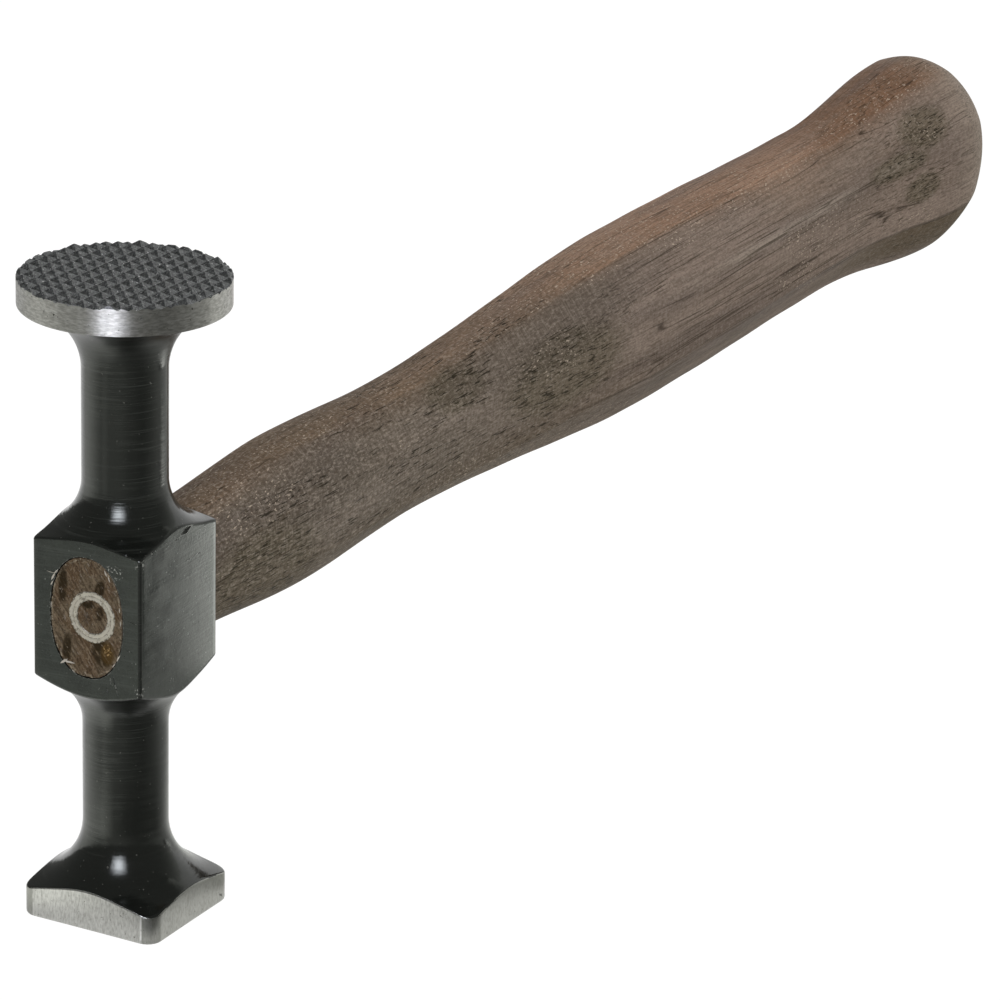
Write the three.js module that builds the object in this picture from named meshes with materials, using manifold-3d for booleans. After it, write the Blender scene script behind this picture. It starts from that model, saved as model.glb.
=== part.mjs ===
// Auto body hammer: a forged head with a round serrated face and a square flat face, on a shaped
// hickory handle that a steel ring wedge holds in the eye.
// Millimetres. The origin is the centre of the square face, +Z runs up the head to the round face,
// and +X runs along the handle from the head to the butt.
import * as THREE from 'three';
import { mergeVertices } from 'three/addons/utils/BufferGeometryUtils.js';
import Module from 'manifold-3d';

const wasm = await Module();
wasm.setup();

// Necks, and the small break on the head's outer edges. A neck's length is its straight stretch,
// between the fillets at its two ends.
const neckDiameter = 14.7;
const upperNeckLength = 19.4;
const lowerNeckLength = 17.7;
const edgeBreak = 0.3;

// Round face: a turned disc whose top is cut into pyramids by two crossing sets of V grooves
const roundFaceDiameter = 36;
const roundFaceThickness = 5.3;
const roundFilletRadius = 11.2;
const roundUndersideTilt = 6.5;
const toothPitch = 2.63;
const toothDepth = 0.75;
const toothTurn = -2;
const rimBevel = 0.5;

// Centre block around the eye
const blockDepth = 24;
const blockWidth = 21.4;
const blockCornerHeight = 24.6;
const blockEdgeRadius = 0.5;
const blockUpperFilletRadius = 9;
const blockUpperTilt = 12;
const blockUpperCornerTilt = 22;
const blockLowerFilletRadius = 9.5;
const blockLowerTilt = 28;
const blockLowerCornerTilt = 28;

// Square face
const squareDepth = 25;
const squareWidth = 26.8;
const squareCornerRadius = 2.6;
const squareCornerHeight = 5.1;
const squareFilletRadius = 11.5;
const squareTilt = 19;
const squareCornerTilt = 22;

// Eye: it opens out by its flare from the middle to both mouths, so that the wedged wood can't
// pull out
const eyeMouthWidth = 14.3;
const eyeMouthHeight = 21.4;
const eyeFlare = 0.4;
const eyeSquareness = 2.24;

// Handle: its length is what stands out behind the head, and its shoulder steps out from the eye's
// mouth. Each hollow and each crest of the grip has its own height.
const handleLength = 320;
const shoulderStepUp = 1.1;
const shoulderStepAcross = 2.3;
const swellHeight = 28;
const waistHeight = 25.7;
const gripHeight = 35.9;
const rearWaistHeight = 34.3;
const buttHeight = 42.5;
const widthShare = 0.798;
const sectionSquareness = 2;
const domeSquareness = 1.55;
const fitClearance = 0.3;
const shoulderHeight = eyeMouthHeight + 2 * shoulderStepUp;
const shoulderWidth = eyeMouthWidth + 2 * shoulderStepAcross;
// The oval section is planed towards an octagon with soft ridges, by a planed share at each crest
const facetCount = 8;
const ridgeCrispness = 60;
// Where the handle's outline is level, as shares of its length behind the head
const handleCrests = [
  { atShare: 0, planedShare: 0.1, height: shoulderHeight, width: shoulderWidth },
  { atShare: 0.12, planedShare: 0.5, height: swellHeight, width: swellHeight * widthShare },
  { atShare: 0.235, planedShare: 0.6, height: waistHeight, width: waistHeight * widthShare },
  { atShare: 0.53, planedShare: 0.8, height: gripHeight, width: gripHeight * widthShare },
  { atShare: 0.77, planedShare: 0.8, height: rearWaistHeight, width: rearWaistHeight * widthShare },
  { atShare: 0.92, planedShare: 0.45, height: buttHeight, width: buttHeight * widthShare },
];

// Ring wedge: a steel ring that tapers to a thin edge inside the wood
const ringDiameter = 8.9;
const ringWall = 1.6;
const ringTipDiameter = 8.1;
const ringTipWall = 0.4;
const ringLength = 13;
const ringOffsetAcross = -1.15;
const ringOffsetUp = 0.45;

// How far a cutter runs past what it cuts
const overrun = 3;

// Facet counts
const turnedSides = 72;
const filletSteps = 9;
const shoulderSteps = 2;
const sectionSides = 6 * facetCount;
const ringSides = 32;
const cornerSteps = 4;
const blendSteps = 6;
const domeSteps = 9;

const radians = THREE.MathUtils.degToRad;

// Turns a closed geometry into a solid for joining and cutting
function solidOf(geometry) {
  const bare = geometry.index ? geometry.toNonIndexed() : geometry.clone();
  bare.deleteAttribute('normal');
  bare.deleteAttribute('uv');
  const merged = mergeVertices(bare);
  return new wasm.Manifold(new wasm.Mesh({
    numProp: 3,
    vertProperties: new Float32Array(merged.attributes.position.array),
    triVerts: new Uint32Array(merged.index.array),
  }));
}

function meshOf(name, solid, material) {
  const cut = solid.getMesh();
  const geometry = new THREE.BufferGeometry();
  geometry.setAttribute('position', new THREE.BufferAttribute(cut.vertProperties, 3));
  geometry.setIndex(new THREE.BufferAttribute(cut.triVerts, 1));
  geometry.computeVertexNormals();
  const mesh = new THREE.Mesh(geometry, material);
  mesh.name = name;
  return mesh;
}

// A solid turned about Z from a profile of radius and height points
function turned(profile, sides) {
  return solidOf(new THREE.LatheGeometry(profile, sides).rotateX(Math.PI / 2));
}

// Distance from the axis to the rounded vertical corner of a block
function cornerReach(depth, width, radius) {
  return Math.hypot(depth / 2 - radius, width / 2 - radius) + radius;
}

// The head's four flares, each from a neck out to the corner of what it carries. tilt is the
// shoulder's angle from level where the fillet ends, and cornerTilt its angle at the corner.
const squareFlare = {
  filletRadius: squareFilletRadius,
  tilt: squareTilt,
  cornerTilt: squareCornerTilt,
  cornerRadius: cornerReach(squareDepth, squareWidth, squareCornerRadius),
};
const blockRadius = cornerReach(blockDepth, blockWidth, blockEdgeRadius);
const blockLowerFlare = {
  filletRadius: blockLowerFilletRadius,
  tilt: blockLowerTilt,
  cornerTilt: blockLowerCornerTilt,
  cornerRadius: blockRadius,
};
const blockUpperFlare = {
  filletRadius: blockUpperFilletRadius,
  tilt: blockUpperTilt,
  cornerTilt: blockUpperCornerTilt,
  cornerRadius: blockRadius,
};
const roundFlare = {
  filletRadius: roundFilletRadius,
  tilt: roundUndersideTilt,
  cornerTilt: roundUndersideTilt,
  cornerRadius: roundFaceDiameter / 2 - edgeBreak,
};

// A flare's fillet and shoulder, worked out. The fillet is made smaller where it would run past
// the corner. rise is the height from the corner to where the fillet leaves the neck.
function flareSizes({ filletRadius, tilt, cornerTilt, cornerRadius }) {
  const neckRadius = neckDiameter / 2;
  const spread = 1 - Math.sin(radians(tilt));
  const radius = Math.min(filletRadius, (cornerRadius - edgeBreak - neckRadius) / spread);
  const filletEnd = neckRadius + radius * spread;
  const startSlope = Math.tan(radians(tilt));
  const cornerSlope = Math.tan(radians(cornerTilt));
  const shoulderRun = cornerRadius - filletEnd;
  const shoulderRise = shoulderRun * (startSlope + cornerSlope) / 2;
  const rise = shoulderRise + radius * Math.cos(radians(tilt));
  return { radius, filletEnd, startSlope, cornerSlope, shoulderRun, shoulderRise, rise };
}

// Heights up the head, each from the one below it
const lowerNeckBottom = squareCornerHeight + flareSizes(squareFlare).rise;
const lowerNeckTop = lowerNeckBottom + lowerNeckLength;
const blockBottom = lowerNeckTop + flareSizes(blockLowerFlare).rise;
const eyeCentreHeight = blockBottom + blockCornerHeight / 2;
const blockTop = blockBottom + blockCornerHeight;
const upperNeckBottom = blockTop + flareSizes(blockUpperFlare).rise;
const upperNeckTop = upperNeckBottom + upperNeckLength;
const roundUnderside = upperNeckTop + flareSizes(roundFlare).rise;
const headHeight = roundUnderside + roundFaceThickness;

// A flare's outline from the neck to its corner, and on to reachRadius if that lies further out.
// side is 1 where the flare opens downwards and -1 where it opens upwards.
function flareOutline(flare, cornerHeight, side, reachRadius) {
  const sizes = flareSizes(flare);
  const filletEndHeight = cornerHeight + side * sizes.shoulderRise;
  const neckEndHeight = cornerHeight + side * sizes.rise;
  const points = [];
  for (let i = 0; i <= filletSteps; i++) {
    const angle = radians(90 - flare.tilt) * (i / filletSteps);
    points.push(new THREE.Vector2(
      neckDiameter / 2 + sizes.radius * (1 - Math.cos(angle)),
      neckEndHeight - side * sizes.radius * Math.sin(angle),
    ));
  }
  for (let i = 1; i <= shoulderSteps; i++) {
    const share = i / shoulderSteps;
    const run = sizes.shoulderRun * share;
    const slope = THREE.MathUtils.lerp(sizes.startSlope, sizes.cornerSlope, share / 2);
    points.push(new THREE.Vector2(sizes.filletEnd + run, filletEndHeight - side * run * slope));
  }
  if (reachRadius > flare.cornerRadius) {
    const drop = (reachRadius - flare.cornerRadius) * sizes.cornerSlope;
    points.push(new THREE.Vector2(reachRadius, cornerHeight - side * drop));
  }
  return points;
}

// The whole head as the lathe leaves it, with the block and the square end still round
function spool() {
  const roundRadius = roundFaceDiameter / 2;
  const toothRoot = headHeight - toothDepth;
  const blankTop = headHeight + overrun;
  const bevelSlope = rimBevel / toothDepth;
  const squareReach = squareFlare.cornerRadius + overrun;
  const blockReach = blockRadius + overrun;
  const profile = [
    new THREE.Vector2(0, 0),
    new THREE.Vector2(squareReach, 0),
    ...flareOutline(squareFlare, squareCornerHeight, 1, squareReach).reverse(),
    ...flareOutline(blockLowerFlare, blockBottom, -1, blockReach),
    ...flareOutline(blockUpperFlare, blockTop, 1, blockReach).reverse(),
    ...flareOutline(roundFlare, roundUnderside, -1, roundFlare.cornerRadius),
    new THREE.Vector2(roundRadius, roundUnderside + edgeBreak),
    new THREE.Vector2(roundRadius, toothRoot),
    new THREE.Vector2(roundRadius - bevelSlope * (toothDepth + overrun), blankTop),
    new THREE.Vector2(0, blankTop),
  ];
  return turned(profile, turnedSides);
}

// An upright prism with rounded corners between two heights
function prism(depth, width, radius, low, high, bottomBreak) {
  const x = depth / 2 - bottomBreak;
  const y = width / 2 - bottomBreak;
  const r = radius - bottomBreak;
  const outline = new THREE.Shape();
  outline.absarc(x - r, y - r, r, 0, Math.PI / 2);
  outline.absarc(r - x, y - r, r, Math.PI / 2, Math.PI);
  outline.absarc(r - x, r - y, r, Math.PI, Math.PI * 1.5);
  outline.absarc(x - r, r - y, r, Math.PI * 1.5, Math.PI * 2);
  const geometry = new THREE.ExtrudeGeometry(outline, {
    depth: high - low - 2 * bottomBreak,
    bevelEnabled: bottomBreak > 0,
    bevelThickness: bottomBreak,
    bevelSize: bottomBreak,
    bevelSegments: 1,
    curveSegments: cornerSteps,
  });
  return solidOf(geometry.translate(0, 0, low + bottomBreak));
}

// What the spool is ground back to: a square column, a block column and a round column
function groundEnvelope() {
  const lowerNeckMiddle = (lowerNeckBottom + lowerNeckTop) / 2;
  const upperNeckMiddle = (upperNeckBottom + upperNeckTop) / 2;
  const discSide = roundFaceDiameter + overrun;
  const square = prism(
    squareDepth, squareWidth, squareCornerRadius, 0, lowerNeckMiddle, edgeBreak,
  );
  const block = prism(
    blockDepth, blockWidth, blockEdgeRadius, lowerNeckMiddle - overrun, upperNeckMiddle, 0,
  );
  const disc = prism(
    discSide, discSide, blockEdgeRadius, upperNeckMiddle - overrun, headHeight + 2 * overrun, 0,
  );
  return square.add(block).add(disc);
}

// Everything above one set of V grooves, as a saw-toothed slab laid across the face
function grooveCutter(turn) {
  const teeth = Math.ceil(roundFaceDiameter / 2 / toothPitch) + 1;
  const outline = new THREE.Shape();
  outline.moveTo(teeth * toothPitch, headHeight + 2 * overrun);
  outline.lineTo(-teeth * toothPitch, headHeight + 2 * overrun);
  for (let tooth = -teeth; tooth < teeth; tooth++) {
    outline.lineTo(tooth * toothPitch, headHeight);
    outline.lineTo((tooth + 0.5) * toothPitch, headHeight - toothDepth);
  }
  outline.lineTo(teeth * toothPitch, headHeight);
  const length = 2 * teeth * toothPitch;
  const slab = new THREE.ExtrudeGeometry(outline, { depth: length, bevelEnabled: false });
  slab.translate(0, 0, -length / 2).rotateX(Math.PI / 2).rotateZ(radians(toothTurn + turn));
  return solidOf(slab);
}

// A closed skin over a row of outlines with the same number of points, capped at both ends
function loft(outlines) {
  const sides = outlines[0].length;
  const positions = outlines.flat();
  const index = [];
  for (let row = 0; row + 1 < outlines.length; row++) {
    for (let i = 0; i < sides; i++) {
      const a = row * sides + i;
      const b = row * sides + (i + 1) % sides;
      index.push(a, b, a + sides, b, b + sides, a + sides);
    }
  }
  const middle = (outline) => outline
    .reduce((sum, point) => sum.add(point), new THREE.Vector3())
    .divideScalar(sides);
  const first = positions.length;
  const lastRow = first - sides;
  positions.push(middle(outlines[0]), middle(outlines[outlines.length - 1]));
  for (let i = 0; i < sides; i++) {
    const next = (i + 1) % sides;
    index.push(first, next, i, first + 1, lastRow + i, lastRow + next);
  }
  const geometry = new THREE.BufferGeometry().setFromPoints(positions);
  return solidOf(geometry.setIndex(index));
}

// How far a fully planed section reaches at an angle, as a share of the oval's: 1 at the ridges
function planedReach(angle) {
  const reachAt = (at) => {
    let sum = 0;
    for (let facet = 0; facet < facetCount; facet++) {
      const facing = Math.cos(at - (facet / facetCount) * Math.PI * 2);
      sum += Math.max(facing, 0) ** ridgeCrispness;
    }
    return sum ** (-1 / ridgeCrispness);
  };
  return reachAt(angle) / reachAt(Math.PI / facetCount);
}

// An upright oval across the handle's axis, a superellipse of the given squareness
function oval(x, width, height, squareness, planedShare = 0) {
  const points = [];
  for (let i = 0; i < sectionSides; i++) {
    const angle = (i / sectionSides) * Math.PI * 2;
    const c = Math.cos(angle);
    const s = Math.sin(angle);
    const reach = THREE.MathUtils.lerp(1, planedReach(angle), planedShare);
    const y = Math.sign(c) * Math.abs(c) ** (2 / squareness) * reach * (width / 2);
    const z = Math.sign(s) * Math.abs(s) ** (2 / squareness) * reach * (height / 2);
    points.push(new THREE.Vector3(x, y, eyeCentreHeight + z));
  }
  return points;
}

// The eye's oval at a place along the handle's axis, drawn in by clearance all round
function eyeOval(x, clearance) {
  const out = Math.min(Math.abs(x) / (blockDepth / 2), 1);
  const inset = eyeFlare * (1 - out) + clearance;
  return oval(x, eyeMouthWidth - 2 * inset, eyeMouthHeight - 2 * inset, eyeSquareness);
}

function eyeCutter() {
  const mouth = blockDepth / 2;
  return loft([-mouth - overrun, -mouth, 0, mouth, mouth + overrun].map((x) => eyeOval(x, 0)));
}

// The tenon, the shoulder against the block, and the handle's crests and hollows to its domed butt
function handleBody() {
  const mouth = blockDepth / 2;
  const shoulder = mouth + fitClearance;
  const outlines = [-mouth, 0, mouth].map((x) => eyeOval(x, fitClearance));
  outlines.push(eyeOval(shoulder, fitClearance));
  const [front] = handleCrests;
  outlines.push(oval(
    shoulder, front.width, front.height, sectionSquareness, front.planedShare,
  ));
  for (let i = 0; i + 1 < handleCrests.length; i++) {
    const from = handleCrests[i];
    const to = handleCrests[i + 1];
    for (let step = 1; step <= blendSteps; step++) {
      const share = step / blendSteps;
      const blend = THREE.MathUtils.smoothstep(share, 0, 1);
      outlines.push(oval(
        mouth + handleLength * THREE.MathUtils.lerp(from.atShare, to.atShare, share),
        THREE.MathUtils.lerp(from.width, to.width, blend),
        THREE.MathUtils.lerp(from.height, to.height, blend),
        sectionSquareness,
        THREE.MathUtils.lerp(from.planedShare, to.planedShare, blend),
      ));
    }
  }
  const butt = handleCrests[handleCrests.length - 1];
  for (let step = 1; step <= domeSteps; step++) {
    const angle = (step / (domeSteps + 1)) * (Math.PI / 2);
    const along = Math.sin(angle) ** (2 / domeSquareness);
    const girth = Math.cos(angle) ** (2 / domeSquareness);
    outlines.push(oval(
      mouth + handleLength * THREE.MathUtils.lerp(butt.atShare, 1, along),
      butt.width * girth,
      butt.height * girth,
      sectionSquareness,
      butt.planedShare * girth * girth,
    ));
  }
  return loft(outlines);
}

// The ring wedge's tapering wall turned about the handle's axis, grown by clearance on every side
// and started lead ahead of the block's front face
function ringSolid(clearance, lead) {
  const bore = ringDiameter - 2 * ringWall;
  const tipBore = ringTipDiameter - 2 * ringTipWall;
  const wallPoint = (diameter, tipDiameter, grown, depth) => {
    const here = THREE.MathUtils.mapLinear(depth, 0, ringLength, diameter, tipDiameter);
    return new THREE.Vector2(here / 2 + grown, depth);
  };
  const back = ringLength + clearance;
  const profile = [
    wallPoint(bore, tipBore, -clearance, -lead),
    wallPoint(ringDiameter, ringTipDiameter, clearance, -lead),
    wallPoint(ringDiameter, ringTipDiameter, clearance, back),
    wallPoint(bore, tipBore, -clearance, back),
    wallPoint(bore, tipBore, -clearance, -lead),
  ];
  const ring = new THREE.LatheGeometry(profile, ringSides).rotateZ(-Math.PI / 2);
  const front = -blockDepth / 2;
  return solidOf(ring.translate(front, ringOffsetAcross, eyeCentreHeight + ringOffsetUp));
}

const blackLacquer = new THREE.MeshStandardMaterial({
  color: 0x1c1f1d,
  roughness: 0.3,
  metalness: 0.2,
});
const stainedHickory = new THREE.MeshStandardMaterial({
  color: 0x4d4139,
  roughness: 0.55,
  metalness: 0,
});
const groundSteel = new THREE.MeshStandardMaterial({
  color: 0xb4b2aa,
  roughness: 0.35,
  metalness: 1,
});

const head = spool()
  .intersect(groundEnvelope())
  .subtract(eyeCutter())
  .subtract(grooveCutter(0))
  .subtract(grooveCutter(90));
const handle = handleBody().subtract(ringSolid(fitClearance, overrun));
const ring = ringSolid(0, 0);

const hammer = new THREE.Group();
hammer.add(
  meshOf('hammer_head', head, blackLacquer),
  meshOf('handle', handle, stainedHickory),
  meshOf('ring_wedge', ring, groundSteel),
);

export default hammer;
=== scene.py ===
import bpy
import bmesh
import math
import numpy as np
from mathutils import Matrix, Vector


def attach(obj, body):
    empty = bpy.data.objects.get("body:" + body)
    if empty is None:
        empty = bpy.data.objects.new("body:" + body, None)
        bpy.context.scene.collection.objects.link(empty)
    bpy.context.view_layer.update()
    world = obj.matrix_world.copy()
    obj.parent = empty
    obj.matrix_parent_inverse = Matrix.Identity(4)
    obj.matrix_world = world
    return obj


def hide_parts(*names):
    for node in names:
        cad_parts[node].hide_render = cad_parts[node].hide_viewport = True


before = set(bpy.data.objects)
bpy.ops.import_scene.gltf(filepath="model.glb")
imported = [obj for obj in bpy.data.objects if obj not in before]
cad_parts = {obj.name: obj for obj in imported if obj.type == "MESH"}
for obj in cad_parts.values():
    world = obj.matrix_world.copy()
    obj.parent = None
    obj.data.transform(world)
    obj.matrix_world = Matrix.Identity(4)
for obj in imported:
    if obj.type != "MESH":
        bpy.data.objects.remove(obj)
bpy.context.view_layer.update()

# Head: one steel forging, turned between centres, with the block and the square end ground flat
# afterwards. The necks, shoulders and block are lacquered black; the disc and the square end's
# sides are left as the grinder leaves them. Sizes are in millimetres.
mm = 0.001
neck_radius = 7.35
square_half_depth, square_half_width, square_corner = 12.5, 13.4, 2.6
block_half_depth, block_half_width, block_corner = 12.0, 10.7, 0.55
disc_radius = 18.0
square_corner_height = 5.1
block_bottom, block_top = 44.72, 69.32
disc_underside, head_top = 109.12, 114.42
tooth_pitch, tooth_depth = 2.63, 0.75
bevel_in, bevel_down = 0.3, 0.45
eye_half_width, eye_half_height, eye_height = 7.15, 10.7, 57.02
eye_squareness = 2.24
crease = 0.22


def rounded_outline(half_depth, half_width, corner, flat_steps=16, corner_steps=6):
    """Points round a rounded rectangle, from the middle of its +X side and back."""
    points = []
    for turn in range(4):
        along, across = (half_depth, half_width) if turn % 2 == 0 else (half_width, half_depth)
        side = [(along, (across - corner) * i / flat_steps) for i in range(flat_steps)]
        for i in range(corner_steps + 1):
            angle = math.pi / 2 * i / corner_steps
            bend = (corner * math.cos(angle), corner * math.sin(angle))
            side.append((along - corner + bend[0], across - corner + bend[1]))
        side += [((along - corner) * (1 - i / flat_steps), across) for i in range(1, flat_steps)]
        c, s = round(math.cos(math.pi / 2 * turn)), round(math.sin(math.pi / 2 * turn))
        points += [(c * x - s * y, s * x + c * y) for x, y in side]
    return np.array(points)


def turned_flare(fillet, tilt, corner_tilt, corner_radius, corner_height, side):
    """A flare's outline from the neck outwards: a fillet, then a shoulder that rolls over to its corner.
    side is 1 where the flare opens downwards."""
    tilt, corner_tilt = math.radians(tilt), math.radians(corner_tilt)
    fillet_end = neck_radius + fillet * (1 - math.sin(tilt))
    run = corner_radius - fillet_end
    start_slope, corner_slope = math.tan(tilt), math.tan(corner_tilt)
    end_height = corner_height + side * run * (start_slope + corner_slope) / 2
    neck_end = end_height + side * fillet * math.cos(tilt)
    turns = np.linspace(0, math.pi / 2 - tilt, 60)
    radii = neck_radius + fillet * (1 - np.cos(turns))
    heights = neck_end - side * fillet * np.sin(turns)
    share = np.linspace(0, 1.25, 26)[1:]
    radii = np.concatenate([radii, fillet_end + run * share])
    slopes = start_slope + (corner_slope - start_slope) * share / 2
    heights = np.concatenate([heights, end_height - side * run * share * slopes])
    length = np.concatenate([[0], np.cumsum(np.hypot(np.diff(radii), np.diff(heights)))])
    return radii, heights, length


def flare_rows(flare, reach, steps):
    """Rows of a flare for every column, from the column's reach in to the neck, as radii and heights."""
    radii, heights, length = flare
    start = np.interp(reach, radii, length)
    stops = [start * (1 - i / steps) for i in range(steps + 1)]
    return [(np.interp(at, length, radii), np.interp(at, length, heights)) for at in stops]


square_outline = rounded_outline(square_half_depth, square_half_width, square_corner)
block_outline = rounded_outline(block_half_depth, block_half_width, block_corner)
columns = len(block_outline)
square_reach, block_reach = np.hypot(*square_outline.T), np.hypot(*block_outline.T)
square_turn = np.unwrap(np.arctan2(square_outline[:, 1], square_outline[:, 0]))
block_turn = np.unwrap(np.arctan2(block_outline[:, 1], block_outline[:, 0]))
disc_turn = np.arange(columns) * 2 * math.pi / columns
square_flare = turned_flare(
    fillet=11.5, tilt=19, corner_tilt=22, corner_radius=17.25, corner_height=square_corner_height, side=1)
block_lower_flare = turned_flare(
    fillet=9.5, tilt=28, corner_tilt=28, corner_radius=15.87, corner_height=block_bottom, side=-1)
block_upper_flare = turned_flare(
    fillet=9.0, tilt=12, corner_tilt=22, corner_radius=15.87, corner_height=block_top, side=1)
disc_flare = turned_flare(
    fillet=11.2, tilt=6.5, corner_tilt=6.5, corner_radius=17.7, corner_height=disc_underside, side=-1)

head_rows = []


def add_row(turn, radius, height):
    radius, height = np.broadcast_to(radius, columns), np.broadcast_to(height, columns)
    head_rows.append(np.stack([radius * np.cos(turn), radius * np.sin(turn), height], 1))


def add_rows(turn, rows):
    for radius, height in rows:
        add_row(turn, radius, height)


def add_neck(turn_a, turn_b, low, high, steps=14):
    """A neck's rows, which turn little by little from one column's outline to the next one's."""
    for i in range(1, steps):
        share = i / steps
        add_row(turn_a + (turn_b - turn_a) * share, neck_radius, low + (high - low) * share)


def add_ground_side(turn, reach, low, high, steps):
    """The flat ground sides between two heights, with holding rows close to both edges."""
    hold = 0.012
    for share in [0.0, hold, *[(i + 1) / (steps + 1) for i in range(steps)], 1 - hold, 1.0]:
        add_row(turn, reach, low + (high - low) * share)


def arched_crease(reach, flare, side):
    """The worn edge where a ground side meets the turned shoulder."""
    radii, heights, _ = flare
    arch = np.interp(reach, radii, heights)
    inner = np.interp(reach - crease, radii, heights)
    rows = [(reach - 0.30 * crease, arch - side * 0.42 * crease),
            (reach - 0.62 * crease, (arch + inner) / 2 - side * 0.10 * crease)]
    return rows if side == 1 else rows[::-1]


# the square face and its rounded edge
for inset, height in ((1.2, 0.0), (0.5, 0.0), (0.42, 0.02), (0.2, 0.1), (0.06, 0.26), (0.0, 0.48)):
    add_row(square_turn, square_reach - inset, height)
square_arch = np.interp(square_reach, square_flare[0], square_flare[1])
add_ground_side(square_turn, square_reach, 0.52, square_arch - crease, 3)
add_rows(square_turn, arched_crease(square_reach, square_flare, 1))
add_rows(square_turn, flare_rows(square_flare, square_reach - crease, 30))
add_neck(square_turn, block_turn, square_flare[1][0], block_lower_flare[1][0])
add_rows(block_turn, flare_rows(block_lower_flare, block_reach - crease, 26)[::-1])
add_rows(block_turn, arched_crease(block_reach, block_lower_flare, -1))
low_arch = np.interp(block_reach, block_lower_flare[0], block_lower_flare[1])
high_arch = np.interp(block_reach, block_upper_flare[0], block_upper_flare[1])
add_ground_side(block_turn, block_reach, low_arch + crease, high_arch - crease, 7)
add_rows(block_turn, arched_crease(block_reach, block_upper_flare, 1))
add_rows(block_turn, flare_rows(block_upper_flare, block_reach - crease, 28))
add_neck(block_turn, disc_turn, block_upper_flare[1][0], disc_flare[1][0])
add_rows(disc_turn, flare_rows(disc_flare, np.full(columns, disc_radius - 0.32), 26)[::-1])
# the disc's rim, up to the bevel that the teeth run out through
rim_start = disc_underside + 0.34
for inset, height in ((0.14, disc_underside + 0.03), (0.04, disc_underside + 0.12),
                      (0.0, disc_underside + 0.28), (0.0, rim_start)):
    add_row(disc_turn, disc_radius - inset, height)
for share in (0.25, 0.5, 0.75, 0.97, 1.0):
    add_row(disc_turn, disc_radius, rim_start + (head_top - bevel_down - rim_start) * share)
for radius in (disc_radius - bevel_in, disc_radius * 0.66, disc_radius * 0.33):
    add_row(disc_turn, radius, head_top)


def plain_mesh(name, points, faces):
    """A new object from points in metres."""
    mesh = bpy.data.meshes.new(name)
    mesh.from_pydata([tuple(p) for p in points], [], faces)
    mesh.update()
    piece = bpy.data.objects.new(name, mesh)
    bpy.context.scene.collection.objects.link(piece)
    return piece


def skin(name, rows, close_start, close_end):
    """A closed mesh over rows of points given in millimetres, with a fan at each end."""
    count, sides = len(rows), len(rows[0])
    faces = []
    for row in range(count - 1):
        for i in range(sides):
            a, b = row * sides + i, row * sides + (i + 1) % sides
            faces.append((a, b, b + sides, a + sides))
    first, last = count * sides, (count - 1) * sides
    for i in range(sides):
        after = (i + 1) % sides
        faces.append((first, after, i))
        faces.append((first + 1, last + i, last + after))
    return plain_mesh(name, np.concatenate([*rows, [close_start], [close_end]]) * mm, faces)


head = skin("head_forging", head_rows, (0, 0, 0), (0, 0, head_top))


def full_turn(steps):
    return np.linspace(0, 2 * math.pi, steps, endpoint=False)


def oval_row(turns, x, half_width, half_height, squareness=2.0, reach=1.0):
    """A row of points round the middle of the eye: an oval, or one squared up as the eye is."""
    c, s = np.cos(turns), np.sin(turns)
    y = np.sign(c) * np.abs(c) ** (2 / squareness) * half_width * reach
    z = np.sign(s) * np.abs(s) ** (2 / squareness) * half_height * reach
    return np.stack([np.broadcast_to(x, y.shape), y, eye_height + z], 1)


# The eye opens out to both mouths, and its edges are broken with a file
past_block = 16.0
from_waist = ((0.0, -0.4), (6.0, -0.22), (11.6, -0.02), (11.85, 0.01), (12.0, 0.09), (past_block, 0.17))
eye_stations = [(-x, grow) for x, grow in from_waist[:0:-1]] + list(from_waist)
eye_rows = [oval_row(full_turn(160), x, eye_half_width + grow, eye_half_height + grow, eye_squareness)
            for x, grow in eye_stations]
eye_cutter = skin("eye_cutter", eye_rows, (-past_block, 0, eye_height), (past_block, 0, eye_height))


def work_in_modifiers(piece):
    """Makes a plain mesh of the piece as its modifiers shape it, and takes them off."""
    settled = bpy.context.evaluated_depsgraph_get()
    plain = bpy.data.meshes.new_from_object(
        piece.evaluated_get(settled), preserve_all_data_layers=True, depsgraph=settled)
    piece.modifiers.clear()
    piece.data = plain


def cut_away(piece, tool):
    """Takes the tool's shape out of the piece, and the tool out of the scene."""
    cut = piece.modifiers.new("cut", "BOOLEAN")
    cut.operation, cut.solver, cut.object = "DIFFERENCE", "EXACT", tool
    work_in_modifiers(piece)
    bpy.data.objects.remove(tool)


cut_away(head, eye_cutter)

# Scars of the workshop: dents and scratches, each a slim pointed gouge between two places, with half
# its width and its depth. These are on the sides of the block and the square end,
side_scars = [
    ((0.2, -10.68, 70.02), (4.2, -10.64, 70.75), 0.64, 0.4),
    ((-1.6, -10.68, 69.55), (-0.2, -10.66, 69.85), 0.2, 0.1),
    ((2.1, -10.7, 64.72), (5.0, -10.7, 65.1), 0.09, 0.08),
    ((5.2, -10.7, 65.12), (7.2, -10.7, 64.85), 0.07, 0.06),
    ((-11.9, -10.6, 69.6), (-11.95, -10.6, 68.6), 0.3, 0.22),
    ((-11.95, -10.6, 48.9), (-11.95, -10.6, 47.5), 0.28, 0.22),
    ((-11.9, -10.6, 46.0), (-11.9, -10.6, 44.9), 0.35, 0.3),
    ((-8.8, -10.65, 69.7), (-8.0, -10.65, 69.75), 0.22, 0.18),
    ((-4.6, -10.65, 70.1), (-3.9, -10.65, 70.2), 0.2, 0.16),
    ((8.3, -13.4, 2.4), (9.9, -13.4, 1.0), 0.22, 0.2),
]
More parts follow.
